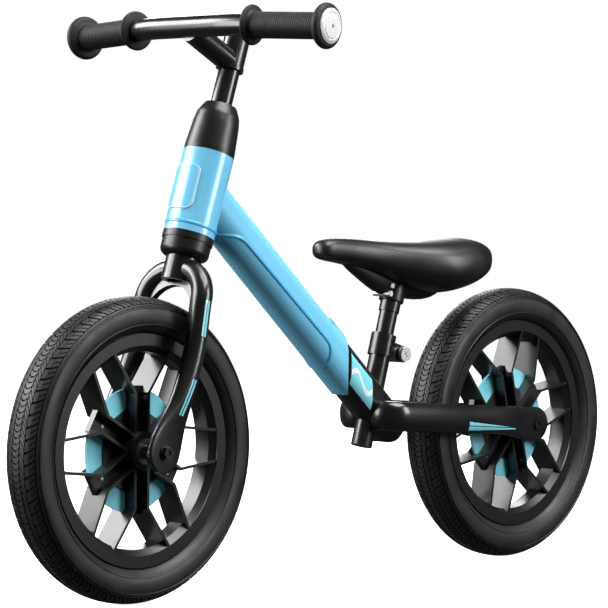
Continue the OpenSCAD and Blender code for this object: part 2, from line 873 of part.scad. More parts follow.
clamp_h = 24;
clamp_wall = 2.2;
ear_back = 25;
ear_r = 9;
slit = 2;

module seat_clamp() {
    mid = seat_len - clamp_h / 2;
    color("#17181a") on_seat() difference() {
        union() {
            translate([0, 0, seat_len - clamp_h]) cylinder(r = seat_tube_r + clamp_wall, h = clamp_h);
            translate([-ear_back, 11, mid - 3]) rotate([90, 0, 0]) cylinder(r = ear_r, h = 22);
            translate([-ear_back, -9, mid - 3 - ear_r]) cube([ear_back, 18, 2 * ear_r]);
        }
        translate([0, 0, -1]) cylinder(r = seat_tube_r, h = seat_len + 20);
        translate([-ear_back - ear_r - 1, -slit / 2, -1]) cube([ear_back + ear_r, slit, seat_len + 10]);
        translate([-ear_back, 20, mid - 3]) rotate([90, 0, 0]) cylinder(r = 3, h = 40);
    }
}

module seat_clamp_bolt() {
    mid = seat_len - clamp_h / 2 - 3;
    color("#a5a9ad") on_seat() translate([-ear_back, 0, mid]) rotate([-90, 0, 0]) {
        difference() {
            translate([0, 0, 11]) cylinder(r = 8, h = 4);
            translate([0, 0, 12.5]) cylinder(r = 2.9, h = 4, $fn = 6);
        }
        translate([0, 0, -15]) cylinder(r = 3 - 0.02, h = 26);
        translate([0, 0, -15]) cylinder(r = 6, h = 4, $fn = 6);
    }
}

post_top = 183;        // top of the post in the saddle's socket, along the seat tube
post_low = 40;
socket_low = 161;
collar_low = 149.5;
collar_r = 11.2;

module seat_post() {
    color("#141516") on_seat() difference() {
        union() {
            translate([0, 0, post_low]) cylinder(r = post_r, h = post_top - post_low);
            translate([0, 0, collar_low]) cylinder(r = collar_r, h = socket_low - collar_low);
        }
        translate([0, 0, post_low - 1]) cylinder(r = post_r - tube_wall, h = post_top - post_low - 3);
    }
}

saddle_mid_x = main_end.x + 4;
saddle_nose_x = saddle_mid_x + saddle_len / 2;
saddle_top_z = seat_foot.z + 223.5;
wide = saddle_w / 2;

// one station across the saddle: round upper edges and a thinner lower edge
module saddle_station(x, half, top, bottom, r) {
    for (i = [-1, 1]) {
        translate([x, i * (half - r), top - r]) sphere(r = r, $fn = 24);
        translate([x, i * (half - 4), bottom + 4]) sphere(r = 4, $fn = 16);
    }
}

// [distance behind the nose tip, half width, drop of the top, depth of the skirt, edge radius]
saddle_stations = [
    [8, 11, 7, 20, 7], [30, 14.5, 3, 24, 9], [75, 20, 0.8, 31, 12],
    [110, 36, 0.8, 42, 15], [150, wide - 1, 0.4, 57, 18], [185, wide, 0, 54, 18], [214, wide - 12, 2, 38, 16]
];

module saddle_cover() {
    color("#1a1b1c") difference() {
        for (i = [0:len(saddle_stations) - 2]) hull() for (k = [i, i + 1])
            let (s = saddle_stations[k], x = saddle_nose_x - min(s[0], saddle_len - s[4]))
                saddle_station(x, s[1], saddle_top_z - s[2], saddle_top_z - s[3], s[4]);
        saddle_base_block();
    }
}

// side view of the base, [distance behind the nose tip, drop below the top], and its half width in plan
base_side = [[44, -24], [40, -30], [70, -45], [95, -58], [118, -65], [150, -68], [172, -65],
             [188, -57], [198, -44], [196, -24]];
base_plan = [[38, 6], [75, 11], [110, 19], [150, 26], [180, 25], [196, 16]];

module saddle_base_block() {
    intersection() {
        translate([saddle_nose_x, FAR, saddle_top_z]) rotate([90, 0, 0]) linear_extrude(2 * FAR)
            polygon([for (p = base_side) [-p.x, p.y]]);
        translate([saddle_nose_x, 0, 0]) linear_extrude(FAR * 2)
            polygon(concat([for (p = base_plan) [-p.x, p.y]],
                           [for (i = [len(base_plan) - 1:-1:0]) [-base_plan[i].x, -base_plan[i].y]]));
    }
}

module saddle_base() {
    color("#1e1f21") difference() {
        union() {
            saddle_base_block();
            on_seat() translate([0, 0, socket_low]) cylinder(r = post_r + 3.6, h = post_top - socket_low);
        }
        on_seat() translate([0, 0, -1]) cylinder(r = post_r, h = post_top + 1);
        saddle_bolt_pair(3);
    }
}

// two cross bolts in front of the post, side by side along the socket
module saddle_bolt_pair(r) {
    on_seat() for (z = [socket_low + 5, socket_low + 14])
        translate([post_r + 5.5, 0, z]) rotate([90, 0, 0]) translate([0, 0, -14]) cylinder(r = r, h = 28);
}

module saddle_bolts() { color("#a5a9ad") saddle_bolt_pair(3); }

// ---- the two wheels in place -----------------------------------------------------------------------------

front_turn = 30;
rear_turn = 15;

module front_wheel() { on_front_axle() rotate(-front_turn) children(); }
module rear_wheel() { on_rear_axle() rotate(-rear_turn) children(); }

head_tube();
main_tube();
seat_tube();
seat_tube_plug();
rear_arm_left();
rear_arm_right();
shell_left();
shell_right();
head_badge();
lower_head_ring();
lower_cup();
upper_cup();
upper_head_ring();
headset_cover();
seat_clamp();
seat_clamp_bolt();
rear_axle();
rear_axle_bolts();
rear_spacers();
steerer_crown();
fork_leg_left();
fork_leg_right();
crown_race();
lower_ball_ring();
upper_ball_ring();
upper_race();
lock_nut();
front_axle();
front_axle_bolts();
front_spacers();
quill_tube();
stem_head();
handlebar_tube();
grip_left();
grip_right();
bar_plug_left();
bar_plug_right();
expander_wedge();
expander_bolt();
seat_post();
saddle_base();
saddle_cover();
saddle_bolts();
front_wheel() tyre();  // front_tyre
front_wheel() tyre_core();  // front_tyre_core
front_wheel() rim(1);  // front_rim_left
front_wheel() rim(-1);  // front_rim_right
front_wheel() light_disc();  // front_light_disc
front_wheel() lamps();  // front_lamps
front_wheel() hub_sleeve();  // front_hub_sleeve
front_wheel() bearings();  // front_bearings
rear_wheel() tyre();  // rear_tyre
rear_wheel() tyre_core();  // rear_tyre_core
rear_wheel() rim(1);  // rear_rim_left
rear_wheel() rim(-1);  // rear_rim_right
rear_wheel() light_disc();  // rear_light_disc
rear_wheel() lamps();  // rear_lamps
rear_wheel() hub_sleeve();  // rear_hub_sleeve
rear_wheel() bearings();  // rear_bearings
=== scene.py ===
import bpy
import bmesh
import json
import math
from mathutils import Matrix, Vector

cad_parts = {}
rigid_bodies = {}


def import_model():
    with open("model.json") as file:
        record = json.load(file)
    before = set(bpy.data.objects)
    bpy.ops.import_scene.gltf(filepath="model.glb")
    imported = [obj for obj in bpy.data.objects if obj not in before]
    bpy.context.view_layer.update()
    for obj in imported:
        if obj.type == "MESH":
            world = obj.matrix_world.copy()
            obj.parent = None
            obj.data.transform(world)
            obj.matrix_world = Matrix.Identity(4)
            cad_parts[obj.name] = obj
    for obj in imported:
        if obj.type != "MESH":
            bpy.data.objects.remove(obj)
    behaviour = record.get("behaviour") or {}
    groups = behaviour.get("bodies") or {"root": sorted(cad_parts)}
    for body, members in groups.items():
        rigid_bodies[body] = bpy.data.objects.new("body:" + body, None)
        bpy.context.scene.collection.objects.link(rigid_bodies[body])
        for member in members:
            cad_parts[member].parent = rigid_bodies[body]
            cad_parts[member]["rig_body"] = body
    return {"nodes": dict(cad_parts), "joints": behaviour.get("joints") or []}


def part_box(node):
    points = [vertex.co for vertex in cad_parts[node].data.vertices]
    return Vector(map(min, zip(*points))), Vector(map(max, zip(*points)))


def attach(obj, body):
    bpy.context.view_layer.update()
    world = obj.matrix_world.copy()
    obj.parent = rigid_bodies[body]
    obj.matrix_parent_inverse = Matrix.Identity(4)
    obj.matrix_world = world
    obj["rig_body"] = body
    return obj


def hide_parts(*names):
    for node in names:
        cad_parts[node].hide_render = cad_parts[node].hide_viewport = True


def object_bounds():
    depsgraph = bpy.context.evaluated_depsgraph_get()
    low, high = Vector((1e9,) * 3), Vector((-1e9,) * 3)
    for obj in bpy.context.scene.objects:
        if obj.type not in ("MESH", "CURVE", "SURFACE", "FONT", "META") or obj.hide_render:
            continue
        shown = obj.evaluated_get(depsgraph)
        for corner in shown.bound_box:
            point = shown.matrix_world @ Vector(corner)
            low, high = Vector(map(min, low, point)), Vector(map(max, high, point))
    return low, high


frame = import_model()
cad_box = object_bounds()
nodes = frame["nodes"]
joints = {joint["name"]: joint for joint in frame["joints"]}
scene = bpy.context.scene

# ---- camera --------------------------------------------------------------------------------------
# A long lens stands low beside the front left corner of the bike, about three metres away, and
# looks a little down at it.

look = Vector((-0.729269, -0.683433, -0.032958)).normalized()
head_up = Vector((-0.017917, -0.029077, 0.999417)).normalized()
camera = bpy.data.objects.new("camera", bpy.data.cameras.new("camera"))
scene.collection.objects.link(camera)
camera.matrix_world = Matrix((look.cross(head_up), head_up, -look)).transposed().to_4x4()
camera.location = (2.227744, 2.046309, 0.390527)
camera.data.sensor_width = 36.0
camera.data.lens = 169.02
camera.data.clip_end = 60.0
scene.camera = camera
scene.view_settings.view_transform = "Standard"

# ---- studio --------------------------------------------------------------------------------------
# A white floor runs out of sight under a white surround. Five soft boxes stand round the bike and
# over it, and a faint light comes from all sides.

def shader_for(name, colour, roughness, **sockets):
    """A new material, its node tree and its main shader, with plain values on the shader's sockets."""
    material = bpy.data.materials.new(name)
    material.use_nodes = True
    tree = material.node_tree
    shader = tree.nodes["Principled BSDF"]
    shader.inputs["Base Color"].default_value = (*colour, 1.0)
    shader.inputs["Roughness"].default_value = roughness
    for socket, value in sockets.items():
        shader.inputs[socket.replace("_", " ")].default_value = value
    return material, tree, shader


def node_with(tree, kind, inputs=None, **settings):
    """A shader node of one kind with its settings and its plain or linked inputs."""
    made = tree.nodes.new(kind)
    for key, value in settings.items():
        setattr(made, key, value)
    for key, value in (inputs or {}).items():
        if isinstance(value, bpy.types.NodeSocket):
            tree.links.new(value, made.inputs[key])
        else:
            made.inputs[key].default_value = value
    return made


def uneven_gloss(tree, shader, scale, detail, low, high, noise_low=0.0, noise_high=1.0):
    """Lets the roughness wander between two values, and returns the noise that moves it."""
    where = node_with(tree, "ShaderNodeTexCoord")
    noise = node_with(tree, "ShaderNodeTexNoise",
                      {"Vector": where.outputs["Object"], "Scale": scale, "Detail": detail})
    dull = node_with(tree, "ShaderNodeMapRange", {"Value": noise.outputs["Fac"], "From Min": noise_low,
                                                  "From Max": noise_high, "To Min": low, "To Max": high})
    tree.links.new(dull.outputs["Result"], shader.inputs["Roughness"])
    return noise


def mesh_of(shape, name):
    """The mesh of a finished bmesh."""
    mesh = bpy.data.meshes.new(name)
    shape.to_mesh(mesh)
    shape.free()
    return mesh


floor_finish, tree, shader = shader_for("studio_floor", (0.9, 0.9, 0.9), 0.7,
                                        Emission_Color=(1.0, 1.0, 1.0, 1.0), Emission_Strength=0.95)
uneven_gloss(tree, shader, 3.0, 3.0, 0.62, 0.78)

floor_half, below_tyres = 30.0, 0.0006
shape = bmesh.new()
bmesh.ops.create_grid(shape, x_segments=1, y_segments=1, size=floor_half)
floor_mesh = mesh_of(shape, "studio_floor")
floor_mesh.materials.append(floor_finish)
floor = bpy.data.objects.new("studio_floor", floor_mesh)
scene.collection.objects.link(floor)
floor.location.z = cad_box[0].z - below_tyres
floor.visible_diffuse = floor.visible_glossy = False


def soft_box(name, place, aim, width, height, power):
    """A rectangular area lamp at a place, turned towards another."""
    lamp = bpy.data.lights.new(name, "AREA")
    lamp.shape = "RECTANGLE"
    lamp.size, lamp.size_y, lamp.energy = width, height, power
    light = bpy.data.objects.new(name, lamp)
    scene.collection.objects.link(light)
    light.location = place
    light.rotation_mode = "QUATERNION"
    light.rotation_quaternion = (Vector(aim) - Vector(place)).to_track_quat("-Z", "Y")


bike_middle = (0.0, 0.0, 0.3)
soft_box("front_box", (2.1, -1.2, 0.9), bike_middle, 0.9, 1.6, 50)
soft_box("side_box", (-1.1, 2.3, 1.1), bike_middle, 0.9, 1.4, 46)
soft_box("top_box", (-0.2, 0.9, 2.4), bike_middle, 1.7, 1.7, 95)
soft_box("back_box", (-1.7, -2.0, 1.2), bike_middle, 1.2, 1.2, 30)
soft_box("far_box", (1.15, -1.75, 1.6), bike_middle, 1.1, 1.1, 55)

world = bpy.data.worlds.new("studio")
world.use_nodes = True
scene.world = world
tree = world.node_tree
seen = node_with(tree, "ShaderNodeLightPath")
ambient = tree.nodes["Background"]
ambient.inputs["Color"].default_value = (0.9, 0.95, 1.0, 1.0)
ambient.inputs["Strength"].default_value = 0.07
backdrop = node_with(tree, "ShaderNodeBackground", {"Color": (1.0, 1.0, 1.0, 1.0), "Strength": 1.0})
either = node_with(tree, "ShaderNodeMixShader", {"Fac": seen.outputs["Is Camera Ray"]})
tree.links.new(ambient.outputs["Background"], either.inputs[1])
tree.links.new(backdrop.outputs["Background"], either.inputs[2])
tree.links.new(either.outputs["Shader"], tree.nodes["World Output"].inputs["Surface"])

# ---- painted steel tubes -------------------------------------------------------------------------
# The head tube, main tube, seat tube, arms, crown, legs, stem and post are steel with a thick black
# gloss enamel, which has a faint orange peel and dulls a little in patches.


def fine_relief(tree, shader, texture, scale, strength, depth, **inputs):
    """Shades the surface as if a fine texture stood up from it; its first output is its height."""
    where = node_with(tree, "ShaderNodeTexCoord")
    pattern = node_with(tree, texture, {"Vector": where.outputs["Object"], "Scale": scale, **inputs})
    bump = node_with(tree, "ShaderNodeBump",
                     {"Height": pattern.outputs[0], "Strength": strength, "Distance": depth})
    tree.links.new(bump.outputs["Normal"], shader.inputs["Normal"])


def enamel(name):
    """A black gloss enamel, its node tree and its shader."""
    material, tree, shader = shader_for(name, (0.004, 0.004, 0.0044), 0.3,
                                        Coat_Weight=0.4, Coat_Roughness=0.12)
    uneven_gloss(tree, shader, 22.0, 5.0, 0.24, 0.4, 0.3, 0.75)
    fine_relief(tree, shader, "ShaderNodeTexNoise", 420.0, 0.05, 0.0006, Detail=1.0)
    return material, tree, shader


def shaded_smooth(shape, crease):
    """Shades a shape smooth, and keeps edges sharp where they bend by more than the crease in degrees."""
    for face in shape.faces:
        face.smooth = True
    for edge in shape.edges:
        edge.smooth = edge.calc_face_angle(0.0) < math.radians(crease)


def fitted(name, mesh, material, body, node):
    """A finished mesh as a piece of the bike, which stands for a CAD node where one is named."""
    mesh.materials.clear()
    mesh.materials.append(material)
    piece = bpy.data.objects.new(name, mesh)
    scene.collection.objects.link(piece)
    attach(piece, body)
    if node:
        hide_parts(node)
    return piece


def surface_of(node, material):
    """A copy of a CAD node with its loose triangles merged and its round faces shaded smooth."""
    weld_distance = 0.000004
    mesh = nodes[node].data.copy()
    mesh.name = node + "_surface"
    shape = bmesh.new()
    shape.from_mesh(mesh)
    bmesh.ops.remove_doubles(shape, verts=shape.verts, dist=weld_distance)
    shaded_smooth(shape, 28)
    for face in shape.faces:
        face.material_index = 0
    shape.to_mesh(mesh)
    shape.free()
    piece = fitted(node + "_surface", mesh, material, nodes[node]["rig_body"], node)
    even = piece.modifiers.new("even_shading", "WEIGHTED_NORMAL")
    even.keep_sharp = True
    return piece


black_enamel = enamel("black_enamel")[0]
for node in ("head_tube", "seat_tube", "steerer_crown", "quill_tube", "stem_head", "seat_post", "seat_clamp"):
    surface_of(node, black_enamel)

# ---- main tube -------------------------------------------------------------------------------------
# A deep rounded steel tube in black enamel. A light blue printed panel with a white wave sits on each
# side of its lower end, under the lacquer.

main_lean = math.radians(41.3)
tube_up = Vector((-math.sin(main_lean), 0, math.cos(main_lean)))
print_blue, print_white = (0.24, 0.72, 0.82, 1.0), (0.86, 0.88, 0.9, 1.0)
panel_back, panel_front, panel_low, panel_high, panel_out = -0.0440, -0.0105, 0.1622, 0.1868, 0.0125
wave_low, wave_high, wave_swing, wave_rate = 0.1722, 0.1764, 0.0042, 230.0


def calc(tree, operation, first, second=0.0):
    """A math node's result from two plain or linked values."""
    made = tree.nodes.new("ShaderNodeMath")
    made.operation = operation
    for socket, value in zip(made.inputs, (first, second)):
        if isinstance(value, bpy.types.NodeSocket):
            tree.links.new(value, socket)
        else:
            socket.default_value = value
    return made.outputs[0]


def along_line(tree, direction):
    """How far a point lies along a direction from the origin."""
    where = node_with(tree, "ShaderNodeTexCoord")
    made = node_with(tree, "ShaderNodeVectorMath", {0: where.outputs["Object"], 1: tuple(direction)},
                     operation="DOT_PRODUCT")
    return made.outputs["Value"]


def off_middle(tree):
    """How far a point lies to either side of the bike's middle plane."""
    return calc(tree, "ABSOLUTE", along_line(tree, (0, 1, 0)))


def both(tree, *masks):
    """One where every mask is one, and zero elsewhere."""
    product = masks[0]
    for mask in masks[1:]:
        product = calc(tree, "MULTIPLY", product, mask)
    return product


def between(tree, value, low, high):
    """One where the value is between two limits, and zero outside them."""
    return both(tree, calc(tree, "GREATER_THAN", value, low), calc(tree, "LESS_THAN", value, high))


def printed(tree, shader, masks_and_colours):
    """Lays each printed colour over the shader's plain base colour where its mask is one."""
    under = shader.inputs["Base Color"].default_value[:]
    for mask, colour in masks_and_colours:
        layer = node_with(tree, "ShaderNodeMix", {"Factor": mask}, data_type="RGBA")
        if isinstance(under, bpy.types.NodeSocket):
            tree.links.new(under, layer.inputs["A"])
        else:
            layer.inputs["A"].default_value = under
        layer.inputs["B"].default_value = colour
        under = layer.outputs["Result"]
    tree.links.new(under, shader.inputs["Base Color"])


panel_enamel, tree, shader = enamel("panel_enamel")
back = along_line(tree, (1, 0, 0))
up = along_line(tree, tube_up)
on_side = calc(tree, "GREATER_THAN", off_middle(tree), panel_out)
panel = both(tree, on_side, between(tree, back, panel_back, panel_front),
             between(tree, up, panel_low, panel_high))
swing = calc(tree, "MULTIPLY", calc(tree, "SINE", calc(tree, "MULTIPLY", back, wave_rate)), wave_swing)
wave = between(tree, calc(tree, "SUBTRACT", up, swing), wave_low, wave_high)
printed(tree, shader, ((panel, print_blue), (both(tree, panel, wave), print_white)))
surface_of("main_tube", panel_enamel)

# ---- rear arms -------------------------------------------------------------------------------------
# Oval tubes that sweep out of the main tube's sides and run back beside the wheel. Their ends are
# pressed flat round the axle, and a blue tapering stripe is printed low on the outside.


def next_ring(shape, ring, edges):
    """Extrudes a ring of edges: the new points in the old ones' order, and the new edges."""
    grown = bmesh.ops.extrude_edge_only(shape, edges=edges)["geom"]
    edges = [item for item in grown if isinstance(item, bmesh.types.BMEdge)]
    new = {vert for edge in edges for vert in edge.verts}
    partner = {edge.other_vert(vert): vert for vert in new for edge in vert.link_edges}
    return [partner[vert] for vert in ring], edges


def lofted(name, stations, sides, material, body, node, flip=False, place=None):
    """A closed skin over rings at (centre, along, across, half across, half thick, squareness) stations."""
    shape = bmesh.new()
    ring = bmesh.ops.create_circle(shape, segments=sides, radius=0.01)["verts"]
    edges = list({edge for vert in ring for edge in vert.link_edges})
    bmesh.ops.contextual_create(shape, geom=edges)
    for number, (centre, along, across, half, thick, square) in enumerate(stations):
        if number:
            ring, edges = next_ring(shape, ring, edges)
        along = Vector(along).normalized()
        wide = (Vector(across) - Vector(across).dot(along) * along).normalized()
        deep = along.cross(wide)
        for i, vert in enumerate(ring):
            c, s = math.cos(2 * math.pi * i / sides), math.sin(2 * math.pi * i / sides)
            vert.co = Vector(centre) + wide * (half * math.copysign(abs(c) ** (2 / square), c)) \
                + deep * (thick * math.copysign(abs(s) ** (2 / square), s))
    bmesh.ops.contextual_create(shape, geom=edges)
    if flip:
        bmesh.ops.scale(shape, verts=shape.verts, vec=(1, -1, 1))
    if place is not None:
        bmesh.ops.transform(shape, matrix=place, verts=shape.verts)
    bmesh.ops.recalc_face_normals(shape, faces=shape.faces)
    for face in shape.faces:
        face.smooth = len(face.verts) == 4
    return fitted(name, mesh_of(shape, name), material, body, node)


def around(turn):
    """The cosine and sine of a turn in degrees."""
    return math.cos(math.radians(turn)), math.sin(math.radians(turn))


tube_sides, outer_face = 36, 0.0440
swoosh_back, swoosh_front = -0.250, -0.168
top_slope, top_line, foot_slope, foot_line = -0.132, 0.1830, -0.030, 0.1560
gap_slope, gap_low, gap_high, gap_black = -0.075, 0.1683, 0.1693, (0.011, 0.011, 0.012, 1.0)
arm_enamel, tree, shader = enamel("arm_enamel")
back = along_line(tree, (1, 0, 0))
swoosh = both(tree, calc(tree, "GREATER_THAN", off_middle(tree), outer_face),
              between(tree, back, swoosh_back, swoosh_front),
              calc(tree, "LESS_THAN", along_line(tree, (top_slope, 0, 1)), top_line),
              calc(tree, "GREATER_THAN", along_line(tree, (foot_slope, 0, 1)), foot_line))
gap = between(tree, along_line(tree, (gap_slope, 0, 1)), gap_low, gap_high)
printed(tree, shader, ((swoosh, print_blue), (both(tree, swoosh, gap), gap_black)))

arm_root = Vector((-0.0565, 0.019, 0.171))
arm_bend, arm_tilt, arm_up = 0.019, math.radians(3.9), (0, 0, 1)
arm_half, arm_thick, arm_square = 0.016, 0.0092, 2.3
stations = []
for turn in (-25, -10, 5, 15, 25, 35, 45, 55, 65, 75, 88):
    c, s = around(turn)
    bent = arm_bend * (c - 1)
    centre = arm_root + Vector((bent * math.cos(arm_tilt), arm_bend * s, bent * math.sin(arm_tilt)))
    along = (-s * math.cos(arm_tilt), c, -s * math.sin(arm_tilt))
    stations.append((centre, along, arm_up, arm_half, arm_thick, arm_square))
flat_y, flat_thick, flat_square = 0.0428, 0.0040, 7.0
# centre x, y and z, half height, half thickness, squareness
for x, y, z, half, thick, square in (
        (-0.120, 0.0405, 0.1667, 0.0160, 0.0090, 2.3), (-0.170, 0.0426, 0.1633, 0.0160, 0.0090, 2.3),
        (-0.205, 0.0440, 0.1609, 0.0158, 0.0088, 2.3), (-0.222, 0.0444, 0.1596, 0.0157, 0.0083, 2.4),
        (-0.236, 0.0443, 0.1583, 0.0159, 0.0073, 2.6), (-0.247, 0.0438, 0.1570, 0.0165, 0.0060, 3.0),
        (-0.257, 0.0432, 0.1556, 0.0173, 0.0048, 3.6), (-0.267, flat_y, 0.1543, 0.0182, 0.0041, 4.4),
        (-0.278, flat_y, 0.1528, 0.0190, flat_thick, 5.5)):
    stations.append(((x, y, z), (-1, 0.02, -0.07), arm_up, half, thick, square))
end_x, end_z, end_radius = -0.291, 0.152, 0.0195
round_end = (0, 20, 38, 53, 65, 75, 83, 88)
for turn in round_end:
    c, s = around(turn)
    centre = (end_x - end_radius * s, flat_y, end_z)
    stations.append((centre, (-1, 0, 0), arm_up, end_radius * c, flat_thick, flat_square))
for side, flip in (("left", False), ("right", True)):
    lofted("rear_arm_" + side + "_tube", stations, tube_sides, arm_enamel, "frame", "rear_arm_" + side,
           flip)
# ---- fork legs -------------------------------------------------------------------------------------
# Round tubes that arch out of the crown over the tyre and bow down to flattened ends round the axle.
# Pairs of blue pinstripes are printed high and low on the outside.

steer_axis = Vector(joints["steering"]["axis"])
steer_foot = Vector(joints["steering"]["pos_m"])
ahead = Vector((0, 1, 0)).cross(steer_axis)
steering_place = Matrix.Translation(steer_foot) @ Matrix((ahead, (0, 1, 0), steer_axis)).transposed().to_4x4()

leg_enamel, tree, shader = enamel("leg_enamel")
height = calc(tree, "SUBTRACT", along_line(tree, steer_axis), steer_foot.dot(steer_axis))
on_side = calc(tree, "GREATER_THAN", off_middle(tree), outer_face)
stripes = []
# lower end, upper end, slope, place ahead
for low, high, slope, offset in ((0.122, 0.158, 0.12, -0.0178), (0.040, 0.078, -0.11, 0.0042)):
    slant = ahead - steer_axis * slope
    across = calc(tree, "SUBTRACT", along_line(tree, slant), steer_foot.dot(slant) + offset)
    pair = calc(tree, "ADD", between(tree, across, -0.0032, -0.0008), between(tree, across, 0.0006, 0.0024))
    stripes.append(both(tree, pair, on_side, between(tree, height, low, high)))
printed(tree, shader, ((stripes[0], print_blue), (stripes[1], print_blue)))

arch_radius, arch_root, arch_height, leg_radius = 0.032, 0.008, 0.157, 0.011
stations = []
for turn in range(0, 91, 9):
    c, s = around(turn)
    centre = (0, arch_root + arch_radius * s, arch_height + arch_radius * c)
    stations.append((centre, (0, c, -s), (1, 0, 0), leg_radius, leg_radius, 2))
# centre ahead, aside and up the steering axis, half width, half thickness, squareness
for x, y, z, half, thick, square in (
        (-0.0010, 0.0402, 0.1480, 0.0110, 0.0110, 2.0), (-0.0026, 0.0406, 0.1370, 0.0110, 0.0110, 2.0),
        (-0.0042, 0.0411, 0.1250, 0.0110, 0.0110, 2.0), (-0.0052, 0.0416, 0.1120, 0.0110, 0.0110, 2.0),
        (-0.0054, 0.0422, 0.0980, 0.0110, 0.0110, 2.0), (-0.0048, 0.0428, 0.0840, 0.0112, 0.0109, 2.0),
        (-0.0037, 0.0434, 0.0710, 0.0116, 0.0103, 2.1), (-0.0024, 0.0439, 0.0590, 0.0123, 0.0090, 2.2),
        (-0.0009, 0.0442, 0.0480, 0.0134, 0.0074, 2.4), (0.0008, 0.0444, 0.0380, 0.0149, 0.0058, 2.8),
        (0.0024, 0.0444, 0.0290, 0.0166, 0.0046, 3.4), (0.0038, 0.0444, 0.0200, 0.0184, 0.0040, 4.5),
        (0.0048, 0.0444, 0.0105, 0.0199, 0.0040, 6.0)):
    stations.append(((x, y, z), (0.05, 0.02, -1), (1, 0, 0), half, thick, square))
foot_x, foot_y, foot_radius = 0.0053, 0.0444, 0.0205
for turn in round_end:
    c, s = around(turn)
    centre = (foot_x, foot_y, -foot_radius * s)
    stations.append((centre, (0, 0, -1), (1, 0, 0), foot_radius * c, flat_thick, flat_square))
for side, flip in (("left", False), ("right", True)):
    lofted("fork_leg_" + side + "_tube", stations, tube_sides, leg_enamel, "fork", "fork_leg_" + side,
           flip, steering_place)

# ---- black plastic covers and rings --------------------------------------------------------------
# The headset cover, the cup, the rings and the seat tube's plug are injection moulded in black
# plastic with a fine spark texture, and push onto or into the steel tubes.

cover_plastic, tree, shader = shader_for("cover_plastic", (0.005, 0.005, 0.0055), 0.36)
fine_relief(tree, shader, "ShaderNodeTexNoise", 1500.0, 0.12, 0.0004, Detail=2.0)
for node in ("headset_cover", "lower_cup", "lower_head_ring", "upper_head_ring", "seat_tube_plug"):
    surface_of(node, cover_plastic)

# ---- blue shell ----------------------------------------------------------------------------------
# Two moulded halves in glossy light blue, screwed together round the main tube and the head tube.
# A raised ridge runs along each side, and a thin badge film is stuck on the front.

shell_blue = (0.19, 0.6, 0.86)
blue, tree, shader = shader_for("blue_moulding", shell_blue, 0.26, Coat_Weight=0.4, Coat_Roughness=0.08)
uneven_gloss(tree, shader, 60.0, 3.0, 0.18, 0.3)

# The end of each half is cut back on a slant in plan, so that it narrows towards the middle.
shell_half, end_x, end_slope, same_plane = 0.0217, -0.0022, 1.065, 0.000001
for node, side in (("shell_left", 1), ("shell_right", -1)):
    half = surface_of(node, blue)
    shape = bmesh.new()
    shape.from_mesh(half.data)
    cut = bmesh.ops.bisect_plane(shape, geom=shape.verts[:] + shape.edges[:] + shape.faces[:],
                                 dist=same_plane, plane_co=(end_x, side * shell_half, 0),
                                 plane_no=(-1, side * end_slope, 0), clear_outer=True)["geom_cut"]
    bmesh.ops.edgenet_fill(shape, edges=[item for item in cut if isinstance(item, bmesh.types.BMEdge)])
    shape.to_mesh(half.data)
    shape.free()

# The ridge is the shell's own plastic; its deeper blue is painted shade along the ridge line.
ridge_painted_shade_blue, tree, shader = shader_for("ridge_painted_shade_blue", (0.1, 0.46, 0.8), 0.25, Coat_Weight=0.4)
uneven_gloss(tree, shader, 60.0, 3.0, 0.2, 0.34)
shell_corner, shell_flat, tube_centre, cover_radius = 0.0207, 0.0040, 0.1769, 0.026


def shell_side(x, z):
    """How far the shell's side stands from the middle plane at a place in side view."""
    off = abs(tube_centre - tube_up.dot((x, 0, z))) - shell_flat
    side = shell_half - shell_corner + math.sqrt(max(shell_corner ** 2 - max(off, 0.0) ** 2, 0.0))
    round_axis = (Vector((x, 0, z)) - steer_foot).dot(ahead)
    return max(side, math.sqrt(max(cover_radius ** 2 - round_axis ** 2, 0.0)))


ridge_half, ridge_proud, ridge_step = 0.0021, 0.0009, 0.004
corners = [Vector(corner) for corner in
           ((0.1955, 0.3677), (0.1586, 0.3625), (0.0237, 0.2491), (0.0219, 0.2240))]
path = []
for start, end in zip(corners, corners[1:]):
    steps = max(2, int((end - start).length / ridge_step))
    path += [start.lerp(end, i / steps) for i in range(steps)]
path.append(corners[-1])
for _ in range(5):
    eased = [(before + here * 2 + after) / 4 for before, here, after in zip(path, path[1:], path[2:])]
    path = [path[0]] + eased + [path[-1]]
path = [Vector((x, shell_side(x, z), z)) for x, z in path]
stations = []
for i, (before, here, after) in enumerate(zip(path[:1] + path, path, path[1:] + path[-1:])):
    along = after - before
    fade = min(1.0, 0.25 + (len(path) - i) / 5)
    stations.append((here, along, along.cross((0, 1, 0)), ridge_half, ridge_proud * fade, 2))
for side, flip in (("left", False), ("right", True)):
    lofted("shell_ridge_" + side, stations, 12, ridge_painted_shade_blue, "frame", None, flip)


def turned(name, outline, place, material, body, node, closed=False, crease=35):
    """A part turned from an outline of radius and height round the z axis of its place."""
    shape = bmesh.new()
    verts = [shape.verts.new((radius, 0, height)) for radius, height in outline]
    edges = [shape.edges.new(pair) for pair in zip(verts, verts[1:])]
    if closed:
        edges.append(shape.edges.new((verts[-1], verts[0])))
    bmesh.ops.spin(shape, geom=verts + edges, axis=(0, 0, 1), cent=(0, 0, 0), angle=2 * math.pi, steps=72,
                   use_merge=True)
    bmesh.ops.remove_doubles(shape, verts=shape.verts, dist=0.000002)
    bmesh.ops.recalc_face_normals(shape, faces=shape.faces)
    shaded_smooth(shape, crease)
    mesh = mesh_of(shape, name)
    mesh.transform(place)
    if place.determinant() < 0:
        mesh.flip_normals()
    return fitted(name, mesh, material, body, node)
